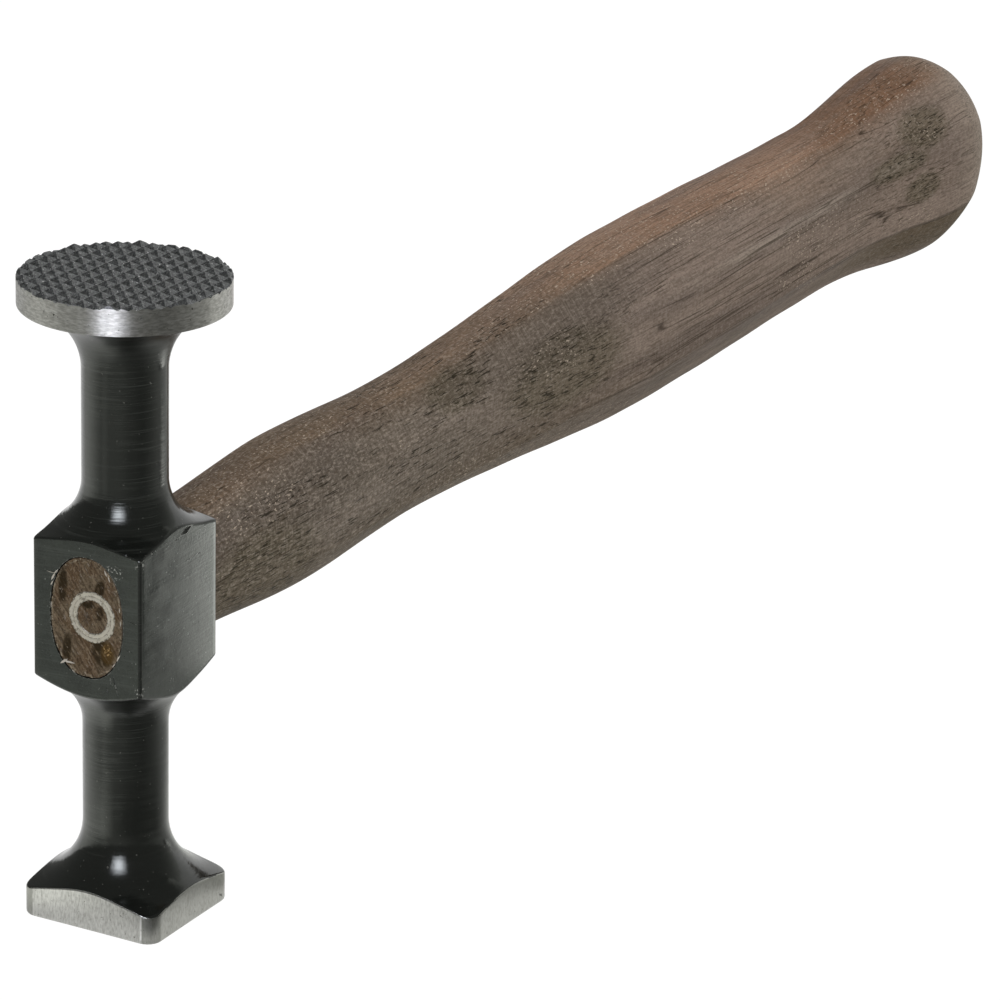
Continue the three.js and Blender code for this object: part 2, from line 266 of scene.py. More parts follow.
# these on the block's front,
front_scars = [
    ((-12.0, -5.0, 48.3), (-12.0, -6.3, 44.0), 0.13, 0.09),
    ((-12.0, -4.6, 48.0), (-12.0, -4.8, 46.0), 0.09, 0.07),
    ((-12.0, -3.9, 45.6), (-12.0, -4.3, 44.2), 0.16, 0.09),
    ((-12.0, -8.0, 58.2), (-12.0, -10.3, 57.9), 0.07, 0.06),
    ((-12.0, -7.6, 53.0), (-12.0, -9.4, 52.7), 0.06, 0.05),
    ((-11.9, -4.2, 70.38), (-11.9, -5.3, 70.2), 0.2, 0.16),
    ((-11.9, -7.4, 69.9), (-11.9, -8.2, 69.8), 0.24, 0.2),
]
# and these on the turned parts.
turned_scars = [
    ((5.4, -8.6, 9.3), (6.5, -10.6, 7.3), 0.1, 0.08),
    ((-17.4, 4.6, 111.6), (-17.5, 4.3, 111.7), 0.14, 0.12),
    ((-17.76, 2.9, 112.0), (-17.8, 2.6, 112.1), 0.15, 0.12),
    ((-17.92, 1.6, 111.4), (-17.95, 1.3, 111.5), 0.13, 0.1),
    ((-15.6, -9.0, 110.6), (-15.55, -9.1, 110.7), 0.11, 0.1),
]


def gouge(place_a, place_b, half_width, depth, out):
    """A gouge's six points; out is the way its face looks, or None where it looks away from the axis."""
    a, b = np.array(place_a), np.array(place_b)
    along = (b - a) / np.linalg.norm(b - a)
    middle = (a + b) / 2
    out = middle * (1, 1, 0) if out is None else np.array(out)
    out = out - along * out.dot(along)
    out = out / np.linalg.norm(out)
    side = np.cross(along, out)
    return [a, b, middle + side * half_width, middle - side * half_width,
            middle + out * depth, middle - out * depth]


gouge_faces = [(0, 2, 4), (0, 4, 3), (0, 3, 5), (0, 5, 2), (1, 4, 2), (1, 3, 4), (1, 5, 3), (1, 2, 5)]
scar_points, scar_faces = [], []
for scars, out in ((side_scars, (0.0, -1.0, 0.0)), (front_scars, (-1.0, 0.0, 0.0)), (turned_scars, None)):
    for scar in scars:
        scar_faces += [tuple(len(scar_points) + i for i in face) for face in gouge_faces]
        scar_points += gouge(*scar, out)
scar_tool = plain_mesh("scars", np.array(scar_points) * mm, scar_faces)
scar_shape = bmesh.new()
scar_shape.from_mesh(scar_tool.data)
bmesh.ops.recalc_face_normals(scar_shape, faces=scar_shape.faces)
scar_shape.to_mesh(scar_tool.data)
scar_shape.free()
cut_away(head, scar_tool)


def feed(tree, socket, value):
    """Links another node's output to the socket, or sets a plain value on it."""
    if hasattr(value, "links"):
        tree.links.new(value, socket)
    else:
        socket.default_value = value


def add_node(tree, kind, *inputs, **settings):
    """A new node; each input is a socket's name or number, with a value or another node's output."""
    node = tree.nodes.new(kind)
    for key, value in settings.items():
        setattr(node, key, value)
    for socket, value in inputs:
        feed(tree, node.inputs[socket], value)
    return node


def math_of(operation, *values):
    """A sum with other nodes' outputs, in the tree that they belong to."""
    tree = next(value.id_data for value in values if hasattr(value, "links"))
    return add_node(tree, "ShaderNodeMath", *enumerate(values), operation=operation).outputs[0]


def times(first, *others):
    for other in others:
        first = math_of("MULTIPLY", first, other)
    return first


def most(first, *others):
    for other in others:
        first = math_of("MAXIMUM", first, other)
    return first


def apart(first, second):
    return math_of("ABSOLUTE", math_of("SUBTRACT", first, second))


def split(vector):
    return add_node(vector.id_data, "ShaderNodeSeparateXYZ", (0, vector)).outputs


def between(value, low, high, to_low=0.0, to_high=1.0):
    """0 to 1, or the two given ends, as the value goes from low to high."""
    ends = ("From Min", low), ("From Max", high), ("To Min", to_low), ("To Max", to_high)
    kind, smooth = "ShaderNodeMapRange", "SMOOTHSTEP"
    return add_node(value.id_data, kind, ("Value", value), *ends, interpolation_type=smooth).outputs[0]


class Finish:
    """One surface finish, laid on coat by coat over its first colour."""

    def __init__(self, name, colour):
        self.material = bpy.data.materials.new(name)
        self.material.use_nodes = True
        self.tree = self.material.node_tree
        self.shader = self.tree.nodes["Principled BSDF"]
        self.place = self.add("ShaderNodeTexCoord").outputs["Object"]
        self.colour = colour

    def add(self, kind, *inputs, **settings):
        return add_node(self.tree, kind, *inputs, **settings)

    def facing(self):
        return self.add("ShaderNodeNewGeometry").outputs["Normal"]

    def noise(self, scale, turn=(0, 0, 0), shift=(0, 0, 0), detail=2.0, roughness=0.5, distortion=0.0):
        """Noise of one scale, or of one scale each way once it is turned."""
        place = self.place
        if isinstance(scale, tuple):
            angles = [math.radians(a) for a in turn]
            turned = self.add("ShaderNodeMapping", ("Vector", place), ("Rotation", angles)).outputs[0]
            stretch = ("Vector", turned), ("Scale", scale), ("Location", shift)
            place = self.add("ShaderNodeMapping", *stretch).outputs[0]
            scale = 1.0
        return self.add("ShaderNodeTexNoise", ("Vector", place), ("Scale", scale), ("Detail", detail),
                        ("Roughness", roughness), ("Distortion", distortion)).outputs["Fac"]

    def patches(self, low, high, scale, **grain):
        """Noise as patches, 0 where it lies below low and 1 where it lies above high."""
        return between(self.noise(scale, **grain), low, high)

    def worn_edge(self, reach, low, high):
        """1 along the piece's sharp edges, within this reach of them."""
        rounded = self.add("ShaderNodeBevel", ("Radius", reach), samples=6).outputs[0]
        both = self.add("ShaderNodeVectorMath", (0, rounded), (1, self.facing()), operation="DOT_PRODUCT")
        return between(both.outputs["Value"], high, low)

    def spot(self, centre, size, turn=0.0):
        """1 at a place, fading to 0 at its edge; size is half its length each way, in millimetres."""
        centre, size = [c * mm for c in centre], [c * mm for c in size]
        inputs = ("Location", centre), ("Rotation", (math.radians(turn), 0, 0)), ("Scale", size)
        local = self.add("ShaderNodeMapping", ("Vector", self.place), *inputs, vector_type="TEXTURE")
        length = self.add("ShaderNodeVectorMath", (0, local.outputs[0]), operation="LENGTH")
        return between(length.outputs["Value"], 1.0, 0.55)

    def spots(self, *places):
        return most(*[self.spot(*place) for place in places])

    def tint(self, share, under, over):
        under, over = [colour if hasattr(colour, "links") else (*colour, 1) for colour in (under, over)]
        inputs = ("Factor", share), ("A", under), ("B", over)
        return self.add("ShaderNodeMix", *inputs, data_type="RGBA").outputs["Result"]

    def coat(self, colour, where, strength=1.0):
        """Lays a colour over the ones so far, at the places where this share is 1."""
        share = where if strength == 1.0 else times(where, strength)
        self.colour = self.tint(share, self.colour, colour)

    def brushed(self, strength):
        """Gloss that is drawn out across the brush marks, which run round the head."""
        round_head = self.add("ShaderNodeTangent", direction_type="RADIAL", axis="Z").outputs[0]
        return {"Anisotropic": strength, "Anisotropic_Rotation": 0.25, "Tangent": round_head}

    def done(self, **values):
        for key, value in (("Base Color", self.colour), *values.items()):
            feed(self.tree, self.shader.inputs[key.replace("_", " ")], value)

    def relief(self, *layers):
        """Each layer is a height from 0 to 1 and the depth in metres that it stands for."""
        before = []
        for height, depth in layers:
            inputs = ("Strength", 1.0), ("Distance", depth), ("Height", height), *before
            bump = self.add("ShaderNodeBump", *inputs)
            before = [("Normal", bump.outputs[0])]
        feed(self.tree, self.shader.inputs["Normal"], bump.outputs[0])


# Gloss black lacquer over lathe marks, on the necks and shoulders
lacquer = Finish("gloss_black_lacquer", (0.0072, 0.0080, 0.0070))
lathe_marks = lacquer.noise((60, 60, 3400), turn=(2, 0, 0), detail=3, roughness=0.6)
lathe_patches = lacquer.patches(0.4, 0.65, (90, 90, 60))
broad_marks = lacquer.noise((30, 30, 520), turn=(2, 0, 0))
orange_peel = lacquer.noise(1000)
streaks = lacquer.noise((70, 70, 2300), turn=(1.5, 0, 0), shift=(0, 0, 3), detail=3, roughness=0.7)
streak_patches = lacquer.patches(0.40, 0.62, (170, 170, 75), shift=(5, 0, 0))
on_head = split(lacquer.place)
upright_part = between(math_of("ABSOLUTE", split(lacquer.facing())["Z"]), 0.55, 0.2)
far_side = between(on_head["Y"], -0.007, 0.002, 0.35, 1.0)
streaked = times(between(streaks, 0.46, 0.66), streak_patches, upright_part, far_side)
dust = lacquer.patches(0.750, 0.775, 1700, detail=1)
rubbed = times(lacquer.worn_edge(0.28 * mm, 0.86, 0.97), lacquer.patches(0.49, 0.57, 1500, detail=3))
lacquer.coat((0.026, 0.028, 0.025), times(between(lathe_marks, 0.5, 0.75), lathe_patches))
lacquer.coat((0.036, 0.038, 0.034), streaked, 0.7)
lacquer.coat((0.075, 0.075, 0.068), dust)
lacquer.coat((0.24, 0.24, 0.22), rubbed)
# duller under the disc and under the block, where the spray only drifted
under_disc = between(on_head["Z"], 0.097, 0.102)
under_block = times(between(on_head["Z"], 0.036, 0.040), between(on_head["Z"], 0.050, 0.046))
dull = times(most(under_disc, under_block), 0.30)
glossy = between(broad_marks, 0.3, 0.7, 0.09, 0.16)
glossy = math_of("ADD", glossy, times(streaked, 0.10))
lacquer.done(Roughness=most(glossy, dull), Specular_IOR_Level=0.5, Specular_Tint=(0.96, 1.0, 0.93, 1))
lacquer.relief((times(lathe_marks, lathe_patches), 0.06 * mm), (broad_marks, 0.04 * mm),
               (orange_peel, 0.014 * mm))

# The same lacquer, duller where it lies on the block's ground flats
flat_lacquer = Finish("satin_lacquer_on_flats", (0.0100, 0.0125, 0.0100))
across_front = flat_lacquer.noise((60, 80, 2300), turn=(3, 2, 0), detail=3, roughness=0.6)
cloud = flat_lacquer.noise(260, detail=4, roughness=0.6)
mottle = flat_lacquer.noise(2200)
flat_dust = flat_lacquer.patches(0.735, 0.765, 1900, detail=1)
flat_rubbed = times(flat_lacquer.worn_edge(0.28 * mm, 0.86, 0.97),
                    flat_lacquer.patches(0.47, 0.55, 1500, detail=3))
eye_scuff = times(flat_lacquer.spot((-12.0, -5.4, 66.2), (2, 2.2, 1.6)),
                  flat_lacquer.patches(0.6, 0.66, 2600, detail=1))
corner_rub = times(flat_lacquer.spots(((-12, -10.7, 68.7), (1.4, 1.4, 2.0)),
                                      ((-12, -10.7, 45.6), (1.5, 1.5, 1.5))),
                   flat_lacquer.patches(0.52, 0.60, 1900))
flat_lacquer.coat((0.0190, 0.0225, 0.0185), between(cloud, 0.35, 0.7))
flat_lacquer.coat((0.045, 0.050, 0.044), between(across_front, 0.5, 0.72, 0.0, 0.5))
flat_lacquer.coat((0.032, 0.037, 0.034), between(mottle, 0.4, 0.7), 0.35)
flat_lacquer.coat((0.10, 0.105, 0.095), flat_dust)
flat_lacquer.coat((0.26, 0.26, 0.24), most(flat_rubbed, eye_scuff, corner_rub))
flat_lacquer.done(Roughness=between(cloud, 0.3, 0.7, 0.11, 0.17), Specular_IOR_Level=0.56,
                  Specular_Tint=(0.95, 1.0, 0.92, 1))
flat_lacquer.relief((across_front, 0.012 * mm), (cloud, 0.012 * mm), (mottle, 0.006 * mm))

# Bare steel, brushed round the rim
rim_steel = Finish("brushed_rim_steel", (0.485, 0.48, 0.45))
scratches = rim_steel.noise((110, 110, 5200), detail=4, roughness=0.65)
rim_cloud = rim_steel.noise((150, 150, 400), detail=3)
rim_stain = rim_steel.noise((500, 500, 900), shift=(3, 0, 0), detail=4, roughness=0.65)
pits = rim_steel.patches(0.69, 0.73, 1500)
rim_grit = rim_steel.noise((900, 900, 3200), shift=(0, 0, 5), detail=3, roughness=0.6)
rim_steel.coat((0.63, 0.625, 0.59), rim_cloud)
rim_steel.coat((0.30, 0.295, 0.275), between(rim_grit, 0.35, 0.55, 0.5, 0.0))
rim_steel.coat((0.78, 0.775, 0.76), between(rim_grit, 0.5, 0.68, 0.0, 0.5))
rim_steel.coat((0.20, 0.195, 0.175), between(rim_stain, 0.5, 0.72), 0.35)
rim_steel.coat((0.09, 0.09, 0.08), pits)
rough = between(scratches, 0.3, 0.7, 0.40, 0.52)
rim_steel.done(Metallic=1.0, Roughness=rough, **rim_steel.brushed(1.0))
rim_steel.relief((scratches, 0.006 * mm), (rim_stain, 0.006 * mm), (rim_grit, 0.003 * mm), (pits, -0.02 * mm))

# Bare steel, ground straight up the square end's sides
side_steel = Finish("ground_side_steel", (0.375, 0.375, 0.350))
upright = side_steel.noise((3600, 3600, 70), detail=4, roughness=0.65)
side_cloud = side_steel.noise((260, 260, 160), detail=3)
side_specks = side_steel.patches(0.69, 0.74, 1700)
side_grit = side_steel.noise((4200, 4200, 1300), shift=(0, 0, 2), detail=3, roughness=0.6)
on_side = split(side_steel.place)
out_x, out_y = (math_of("ABSOLUTE", on_side[axis]) for axis in ("X", "Y"))
side_steel.coat((0.455, 0.455, 0.432), side_cloud)
side_steel.coat((0.27, 0.27, 0.245), between(upright, 0.45, 0.7), 0.28)
side_steel.coat((0.56, 0.56, 0.53), between(side_grit, 0.45, 0.68, 0.0, 0.5))
side_steel.coat((0.22, 0.22, 0.20), between(side_grit, 0.5, 0.34, 0.0, 0.45))
# painted shade: the ±Y sides darker, for the shadowed floor at the foot that they reflect
side_steel.coat((0.185, 0.190, 0.150), between(out_y, 0.01325, 0.01338, 0.0, 0.34))
# the front corners, darkened as painted shade for the dim room they reflect, and a thin painted highlight
# line down the front by one of them
painted_corner_shade = times(between(out_x, 0.00985, 0.0101), between(out_y, 0.01085, 0.0110),
               between(on_side["X"], 0.005, -0.005))
side_steel.coat((0.175, 0.178, 0.158), painted_corner_shade, 0.66)
highlight_line_offset = apart(on_side["Y"], -0.01098)
highlight_breakup = between(side_steel.noise((200, 200, 900), shift=(1, 0, 0)), 0.38, 0.56, 0.12, 0.68)
painted_highlight_line = times(between(highlight_line_offset, 0.00026, 0.00006), between(on_side["X"], -0.0121, -0.0123), highlight_breakup)
# painted highlight: a thin bright line down the front near one corner
side_steel.coat((0.80, 0.80, 0.78), painted_highlight_line)
side_steel.coat((0.13, 0.13, 0.115), side_specks)
rough = between(upright, 0.3, 0.7, 0.30, 0.42)
side_steel.done(Metallic=1.0, Roughness=rough, **side_steel.brushed(0.6))
side_steel.relief((upright, 0.004 * mm), (side_cloud, 0.01 * mm), (side_grit, 0.004 * mm))

# The teeth: dark scaled steel, dull in the valleys and rubbed a little paler on the tips
tooth_steel = Finish("dark_tooth_steel", (0.125, 0.130, 0.130))
grain = tooth_steel.noise(2600, detail=3, roughness=0.6)
smear = tooth_steel.noise(420, detail=3)
tooth_steel.coat((0.185, 0.190, 0.190), smear)
tooth_steel.coat((0.050, 0.052, 0.052), between(grain, 0.36, 0.56, 0.5, 0.0))
tooth_steel.coat((0.34, 0.345, 0.34), between(grain, 0.50, 0.66, 0.0, 0.6))
tooth_steel.coat((0.03, 0.032, 0.032), tooth_steel.patches(0.62, 0.68, 1900), 0.6)
tip_shine = times(tooth_steel.worn_edge(0.13 * mm, 0.88, 0.99), between(smear, 0.36, 0.54))
tooth_steel.coat((0.45, 0.45, 0.44), tip_shine, 0.3)
# painted glints: small bright specks over the teeth
tooth_steel.coat((0.62, 0.63, 0.62), tooth_steel.patches(0.70, 0.735, 2300, detail=1))
tooth_steel.done(Metallic=0.85, Roughness=between(grain, 0.3, 0.7, 0.34, 0.48))
tooth_steel.relief((grain, 0.03 * mm))

# The serrated face: a planer cuts two crossing sets of V grooves across the disc, one at right
# angles to the other, and leaves a field of small pyramids that runs out through the rim. The same
# tree lays on the finishes. Its sizes are in metres.
groove_sizes = {
    "Pitch": tooth_pitch * mm, "Depth": tooth_depth * mm, "Turn": math.radians(-2),
    "Face Radius": disc_radius * mm, "Face Height": head_top * mm, "Tip Share": 0.09, "Side Top": 7.4 * mm,
}
bar_share = 2.4
overcut_share = 0.03
block_low, block_high = 40.0 * mm, 74.0 * mm
rim_low = (disc_underside + 0.15) * mm


def groove_planer():
    tree = bpy.data.node_groups.new("groove_planer", "GeometryNodeTree")
    face = tree.interface
    face.new_socket("Geometry", in_out="INPUT", socket_type="NodeSocketGeometry")
    for name in groove_sizes:
        face.new_socket(name, in_out="INPUT", socket_type="NodeSocketFloat")
    face.new_socket("Geometry", in_out="OUTPUT", socket_type="NodeSocketGeometry")

    def node(kind, *links, **settings):
        return add_node(tree, kind, *links, **settings)

    def vector(x, y, z):
        return node("ShaderNodeCombineXYZ", ("X", x), ("Y", y), ("Z", z)).outputs[0]

    given = node("NodeGroupInput").outputs
    pitch, depth = given["Pitch"], given["Depth"]
    # one cutter: a diamond bar as long as the face is wide, whose lower corner is the V
    reach = times(given["Face Radius"], bar_share)
    bar = node("GeometryNodeMeshCylinder", ("Vertices", 4), ("Radius", 1.0), ("Depth", reach))
    wide_share = math_of("SUBTRACT", 1.0, given["Tip Share"])
    half_width = times(pitch, (1 + overcut_share) / 2, wide_share)
    half_height = times(depth, 1 + overcut_share)
    flat = (math.pi / 2, 0, 0)
    laid = node("GeometryNodeTransform", ("Geometry", bar.outputs["Mesh"]), ("Rotation", flat))
    size = vector(half_width, 1.0, half_height)
    shaped = node("GeometryNodeTransform", ("Geometry", laid.outputs[0]), ("Scale", size))
    # a row of cutters, one pitch apart
    half_count = math_of("CEIL", math_of("DIVIDE", given["Face Radius"], pitch))
    count = times(half_count, 2.0)
    first = times(pitch, math_of("SUBTRACT", 0.5, half_count))
    places = node("GeometryNodeMeshLine", ("Count", count), ("Start Location", vector(first, 0.0, 0.0)),
                  ("Offset", vector(pitch, 0.0, 0.0)), mode="OFFSET")
    row = node("GeometryNodeInstanceOnPoints", ("Points", places.outputs[0]), ("Instance", shaped.outputs[0]))
    cutters = node("GeometryNodeRealizeInstances", ("Geometry", row.outputs[0])).outputs[0]
    lift = math_of("ADD", given["Face Height"], times(depth, overcut_share))
    cut = given["Geometry"]
    for quarter in (0.0, math.pi / 2):
        turn = vector(0.0, 0.0, math_of("ADD", given["Turn"], quarter))
        turned = node("GeometryNodeTransform", ("Geometry", cutters),
                      ("Translation", vector(0.0, 0.0, lift)), ("Rotation", turn))
        planed = node("GeometryNodeMeshBoolean", ("Mesh 1", cut), ("Mesh 2", turned.outputs[0]),
                      operation="DIFFERENCE", solver="EXACT")
        cut = planed.outputs["Mesh"]

    # finishes: lacquer all over, then the flats, the bare sides, the rim and the teeth
    height = split(node("GeometryNodeInputPosition").outputs[0])["Z"]
    faces = split(node("GeometryNodeInputNormal").outputs[0])
    square_on = [math_of("GREATER_THAN", math_of("ABSOLUTE", faces[axis]), 0.995) for axis in ("X", "Y")]
    on_block = times(math_of("ADD", *square_on), math_of("GREATER_THAN", height, block_low),
                     math_of("LESS_THAN", height, block_high))
    on_side = times(math_of("LESS_THAN", height, given["Side Top"]), math_of("LESS_THAN", faces["Z"], 0.5))
    on_rim = times(math_of("GREATER_THAN", height, rim_low),
                   math_of("LESS_THAN", math_of("ABSOLUTE", faces["Z"]), 0.35))
    root = math_of("SUBTRACT", given["Face Height"], times(depth, 1.1))
    on_teeth = times(math_of("GREATER_THAN", height, root), math_of("GREATER_THAN", faces["Z"], 0.35))
    made = node("GeometryNodeRealizeInstances", ("Geometry", cut)).outputs[0]
    made = node("GeometryNodeSetMaterial", ("Geometry", made), ("Material", lacquer.material)).outputs[0]
    for finish, chosen in ((flat_lacquer, on_block), (side_steel, on_side), (rim_steel, on_rim),
                           (tooth_steel, on_teeth)):
        made = node("GeometryNodeSetMaterial", ("Geometry", made), ("Selection", chosen),
                    ("Material", finish.material)).outputs[0]
    tree.links.new(made, node("NodeGroupOutput").inputs[0])
    return tree


planer = head.modifiers.new("serrated face", "NODES")
planer.node_group = groove_planer()
for socket in planer.node_group.interface.items_tree:
    if socket.in_out == "INPUT" and socket.name in groove_sizes:
        planer[socket.identifier] = groove_sizes[socket.name]
work_in_modifiers(head)


def smooth_with_creases(piece, degrees):
    """Smooth shading, with every edge sharper than this left crisp."""
    piece.data.shade_smooth()
    piece.data.set_sharp_from_angle(angle=math.radians(degrees))


smooth_with_creases(head, degrees=27)
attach(head, "root")
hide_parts("hammer_head")

# Handle: one piece of hickory, shaped to its crests and hollows, planed to eight soft facets and
# stained brown. Its tenon fills the eye, where a ring wedge is driven into it, and its end grain
# shows at the front, sawn level with the block.
mouth, handle_length = 12.0, 320.0
shoulder_gap, tenon_gap = 0.12, 0.11
sawn_back = 0.03
# each crest: share of the length, how far planed, width, height
crests = ((0.0, 0.1, 18.9, 23.6), (0.12, 0.55, 22.34, 28.0), (0.235, 0.65, 20.51, 25.7),
          (0.53, 0.85, 28.65, 35.9), (0.77, 0.9, 27.37, 34.3), (0.92, 0.42, 33.92, 42.7))
_, _, shoulder_width, shoulder_height = crests[0]
butt_share, butt_planed, butt_width, butt_height = crests[-1]
dome_fullness = 1.55
handle_sides = 192
sweep = full_turn(handle_sides)


def planed_reach(share):
    """How far the facets reach, of the oval's reach: soft ridges where two facets meet."""
    lower_ridge = -22.5 - 15 * math.exp(-((share - 0.28) / 0.11) ** 2)
    ridges = np.radians([lower_ridge, 22.5, 67.0, 113.0, 157.5, 180 - lower_ridge, 247.5, 292.5])
    after = np.append(ridges[1:], ridges[0] + 2 * math.pi)
    facing, half_span = (ridges + after) / 2, (after - ridges) / 2
    closeness = np.maximum(np.cos(sweep[:, None] - facing[None, :]), 0) / np.cos(half_span)
    crispness = 110
    reach = np.sum(closeness ** crispness, 1) ** (-1 / crispness)
    flank = np.cos(sweep) ** 2 / (np.cos(sweep) ** 2 + 0.28 * np.sin(sweep) ** 4)
    worn = 0.4 - 0.3 * np.clip((share - 0.8) / 0.12, 0, 1)
    return 1 + (reach - 1) * (worn + (1 - worn) * flank)


def hand_shaped(share, planed):
    """The section's reach at a place along the handle, with the small waves that a spokeshave leaves."""
    waves = 0.0030 * np.sin(share * 41 + 2 * np.sin(sweep * 2)) + 0.0022 * np.sin(share * 97 + sweep * 3)
    return 1 + planed * (planed_reach(share) - 1) + planed * waves


handle_rows = []


def add_section(x, half_width, half_height, squareness=2.0, reach=1.0):
    handle_rows.append(oval_row(sweep, x, half_width, half_height, squareness, reach))


rng = np.random.default_rng(7)
saw_roughness, frayed_roughness = 0.022, 0.05
tenon_half_width, tenon_half_height = eye_half_width - tenon_gap, eye_half_height - tenon_gap
for share in (0.02, 0.1, 0.2, 0.3, 0.4, 0.5, 0.6, 0.7, 0.79, 0.87, 0.93, 0.965):
    sawn = -mouth + sawn_back + rng.normal(0, saw_roughness, handle_sides)
    add_section(sawn, tenon_half_width * share, tenon_half_height * share, eye_squareness)
frayed = rng.normal(0, frayed_roughness, handle_sides)
shoulder = mouth + shoulder_gap
for x, grow, fray in ((-11.95, -0.03, 1.0), (-11.85, -0.01, 0.7), (-11.6, -0.01, 0.2), (-6.0, -0.22, 0),
                      (0.0, -0.4, 0), (6.0, -0.22, 0), (11.6, -0.03, 0), (shoulder, 0.0, 0)):
    swell = grow + np.minimum(frayed * fray, 0.02)
    add_section(x, tenon_half_width + swell, tenon_half_height + swell, eye_squareness)
for share in (0.35, 0.7, 1.0):
    half_width = tenon_half_width * (1 - share) + (shoulder_width / 2 - 0.4) * share
    half_height = tenon_half_height * (1 - share) + (shoulder_height / 2 - 0.4) * share
    add_section(shoulder, half_width, half_height, eye_squareness - 0.24 * share)
for out, inset in ((0.05, 0.22), (0.18, 0.07), (0.4, 0.0)):
    add_section(shoulder + out, shoulder_width / 2 - inset, shoulder_height / 2 - inset)
for share in np.linspace(0.0032, butt_share, 250):
    after = next(i for i in range(1, len(crests)) if share <= crests[i][0] + 1e-9)
    low, high = np.array(crests[after - 1]), np.array(crests[after])
    blend = (share - low[0]) / (high[0] - low[0])
    _, planed, width, height = low + (high - low) * blend * blend * (3 - 2 * blend)
    add_section(mouth + handle_length * share, width / 2, height / 2, reach=hand_shaped(share, planed))
for turn in np.linspace(0, math.pi / 2, 48)[1:-1]:
    rise, girth = math.sin(turn) ** (2 / dome_fullness), math.cos(turn) ** (2 / dome_fullness)
    share = butt_share + (1 - butt_share) * rise
    half_width, half_height = butt_width / 2 * girth, butt_height / 2 * girth
    reach = hand_shaped(share, butt_planed * girth ** 4)
    add_section(mouth + handle_length * share, half_width, half_height, reach=reach)
handle = skin("hickory_handle", handle_rows, (-mouth + sawn_back, 0, eye_height),
              (mouth + handle_length, 0, eye_height))

# the groove that the ring wedge is driven into, a little off the tenon's centre
ring_y, ring_z = -1.15, eye_height + 0.45
ring_length = 13.0
front_depth, outer_edge, inner_edge = 0.2, 4.0, 3.1


def turned_ring(name, profile, sides, batter=0.0):
    """A closed ring along the handle's axis, from its section's radii and depths. batter is how far its
    front edges wander."""
    points, faces, count = [], [], len(profile)
    for turn in full_turn(sides):
        waves = ((1.0, 23, 0), (1.3, 41, 2), (1.1, 57, 4), (1.4, 7, 1))
        beaten = batter * sum(size * math.sin(turn * round_it + start) for size, round_it, start in waves) / 4
        for radius, depth in profile:
            if depth < front_depth and radius > outer_edge:
                radius += beaten
            elif depth < front_depth and radius < inner_edge:
                radius -= 0.6 * beaten
            points.append((depth - mouth, ring_y + radius * math.cos(turn), ring_z + radius * math.sin(turn)))
    for i in range(sides):
        for j in range(count):
            a, b = i * count + j, i * count + (j + 1) % count
            c, d = (i + 1) % sides * count + (j + 1) % count, (i + 1) % sides * count + j
            faces.append((a, b, c, d))
    return plain_mesh(name, np.array(points) * mm, faces)


groove_end = ring_length + 0.3
groove_profile = [(4.10, groove_end), (3.60, groove_end), (2.84, -1.0), (4.50, -1.0)]
cut_away(handle, turned_ring("ring_groove", groove_profile, 120))
smooth_with_creases(handle, degrees=30)

# Stained hickory: open pores in dark dashes, grain lines, pale rubbed fibres and cross sanding
wood = Finish("stained_hickory", (0.136, 0.111, 0.088))
on_handle = split(wood.place)


def along(start, end, from_share=0.0, to_share=1.0):
    """0 to 1, or the two given ends, between two places along the handle, in metres."""
    return between(on_handle["X"], start, end, from_share, to_share)


board = wood.noise((7, 90, 90), detail=4, distortion=0.4)
drift = wood.noise((16, 60, 60), shift=(7, 3, 1), detail=3)
patchy = wood.patches(0.3, 0.6, (40, 300, 300), shift=(0, 9, 0))
fibre = wood.noise((70, 3000, 3000), shift=(0, 5, 0), detail=4, roughness=0.7)
sanding = wood.noise((3200, 120, 300), turn=(0, 0, 8), detail=3, roughness=0.6)
crumb = wood.noise((1000, 2400, 2400), shift=(8, 0, 3), detail=3, roughness=0.65)
backward = along(0.06, 0.20)
rear = along(0.13, 0.18)
lit_top = between(math_of("ADD", split(wood.facing())["Z"], times(drift, 0.35)), 0.74, 1.05)
# where the pores stand thick
dense = wood.spots(((28, -9, 52), (24, 9, 13)), ((135, -11, 60), (26, 8, 9)),
                   ((290, -11, 68.5), (12, 7, 5.5)), ((277, -13, 64), (16, 4, 3)),
                   ((285, -15, 57.5), (9, 6, 4)), ((100, -7, 66), (12, 6, 5)))
# the stain: grey-brown on the sides, and on top a redder stain under painted light from above, lighter and
# redder towards the butt
paler, paler_top = between(board, 0.32, 0.68), between(board, 0.3, 0.7)
wood.coat((0.212, 0.177, 0.145), paler)
wood.coat(wood.tint(paler, (0.208, 0.155, 0.122), (0.305, 0.232, 0.188)), backward)
wood.coat((0.150, 0.124, 0.092), between(drift, 0.45, 0.7), 0.4)
# painted light: faces turned up are painted lighter, as light from above shows them, over a redder stain
lit_top_front = wood.tint(paler_top, (0.182, 0.122, 0.076), (0.280, 0.190, 0.122))
lit_top_rear = wood.tint(paler_top, (0.325, 0.190, 0.120), (0.455, 0.280, 0.186))
red_end = between(math_of("ADD", on_handle["X"], times(drift, 0.03)), 0.255, 0.285)
lit_top_brown = wood.tint(backward, lit_top_front, lit_top_rear)
wood.coat(wood.tint(times(red_end, 0.85), lit_top_brown, (0.225, 0.112, 0.058)), lit_top)
bands = wood.noise((13, 150, 150), shift=(4, 6, 2), detail=3, distortion=0.3)
wood.coat((0.112, 0.086, 0.078), between(bands, 0.48, 0.66, 0.0, 0.36))
wood.coat((0.330, 0.262, 0.215), between(bands, 0.46, 0.32, 0.0, 0.25))
wood.coat((0.122, 0.102, 0.062), dense, 0.6)
clouded = most(wood.spot((124, -9, 68.5), (46, 10, 9.5)), times(wood.spot((46, -8, 65), (24, 9, 8)), 0.8))
wood.coat((0.098, 0.080, 0.064), clouded, 0.52)
wood.coat((0.450, 0.368, 0.295), along(0.294, 0.320, 0.0, 0.85))
